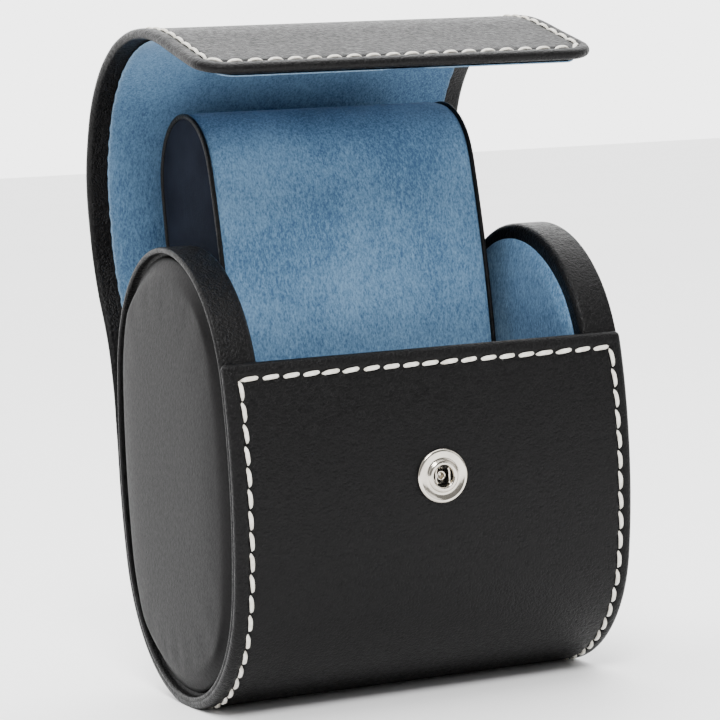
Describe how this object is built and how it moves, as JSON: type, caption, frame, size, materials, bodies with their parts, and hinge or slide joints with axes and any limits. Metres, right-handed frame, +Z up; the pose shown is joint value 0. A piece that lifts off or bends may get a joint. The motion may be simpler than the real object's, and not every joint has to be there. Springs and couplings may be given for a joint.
{
  "type": "watch travel case",
  "caption": "Oval drum-shaped leather travel case for a wrist watch, with a hinged curved lid, press stud, velour lining and a padded watch cushion.",
  "frame": {"origin": "middle of the narrow flat under the case", "axes": "+X along the drum to the right-hand end, -Y to the front with the press stud, +Z up"},
  "size_m": [0.0812, 0.0721, 0.1243],
  "materials": {
    "leather": "satin",
    "pad_leather": "satin",
    "velour": "matte",
    "suede": "matte",
    "board": "matte",
    "foam": "matte",
    "thread": "matte",
    "nickel": "polished"
  },
  "bodies": {
    "case": {"body_board": "board", "body_leather": "leather", "body_lining": "velour", "body_stitching": "thread", "left_cheek_band": "leather", "left_cheek_core": "board", "left_cheek_filler": "board", "left_end_board": "board", "left_end_pad": "pad_leather", "left_inner_pad": "velour", "right_cheek_band": "leather", "right_cheek_core": "board", "right_cheek_filler": "board", "right_end_board": "board", "right_end_pad": "pad_leather", "right_inner_pad": "velour", "snap_socket_eyelet": "nickel", "snap_socket_ring": "nickel", "snap_socket_spring": "nickel"},
    "cushion": {"cushion_core": "foam", "cushion_wrap": "velour", "left_cushion_side": "suede", "right_cushion_side": "suede"},
    "lid_flap": {"flap_board": "board", "flap_leather": "leather", "flap_lining": "velour", "flap_stitching": "thread", "snap_stud": "nickel", "snap_stud_base": "nickel"},
    "hinge_lower": {"hinge_lower_leather": "leather", "hinge_lower_lining": "velour", "hinge_lower_stitching": "thread"},
    "hinge_upper": {"hinge_upper_leather": "leather", "hinge_upper_lining": "velour", "hinge_upper_stitching": "thread"},
    "lid": {"lid_board": "board", "lid_leather": "leather", "lid_lining": "velour", "lid_stitching": "thread"}
  },
  "joints": [
    {"name": "lid_hinge", "type": "hinge", "parent": "case", "child": "hinge_lower", "pos_m": [0, 0.03, 0.05415], "axis": [1, 0, 0], "range_deg": [-28, 25.23]},
    {"name": "strip_bend", "type": "hinge", "parent": "hinge_lower", "child": "hinge_upper", "pos_m": [0, 0.0334, 0.06805], "axis": [1, 0, 0], "range_deg": [-22.5, 20.3]},
    {"name": "lid_bend", "type": "hinge", "parent": "hinge_upper", "child": "lid", "pos_m": [0, 0.03853, 0.07972], "axis": [1, 0, 0], "range_deg": [-24.3, 21.9]},
    {"name": "flap_bend", "type": "hinge", "parent": "lid", "child": "lid_flap", "pos_m": [0, 0.01152, 0.1237], "axis": [1, 0, 0], "range_deg": [0, 2]},
    {"name": "cushion_slide", "type": "slide", "parent": "case", "child": "cushion", "axis": [0, 0.3332, 0.9428], "range_m": [-0.0389, 0.0432]}
  ],
  "couplings": [
    {"joint": "strip_bend", "follows": "lid_hinge", "ratio": 0.7963},
    {"joint": "lid_bend", "follows": "lid_hinge", "ratio": 0.8593},
    {"joint": "cushion_slide", "follows": "lid_hinge", "m_per_rad": -0.0879}
  ]
}
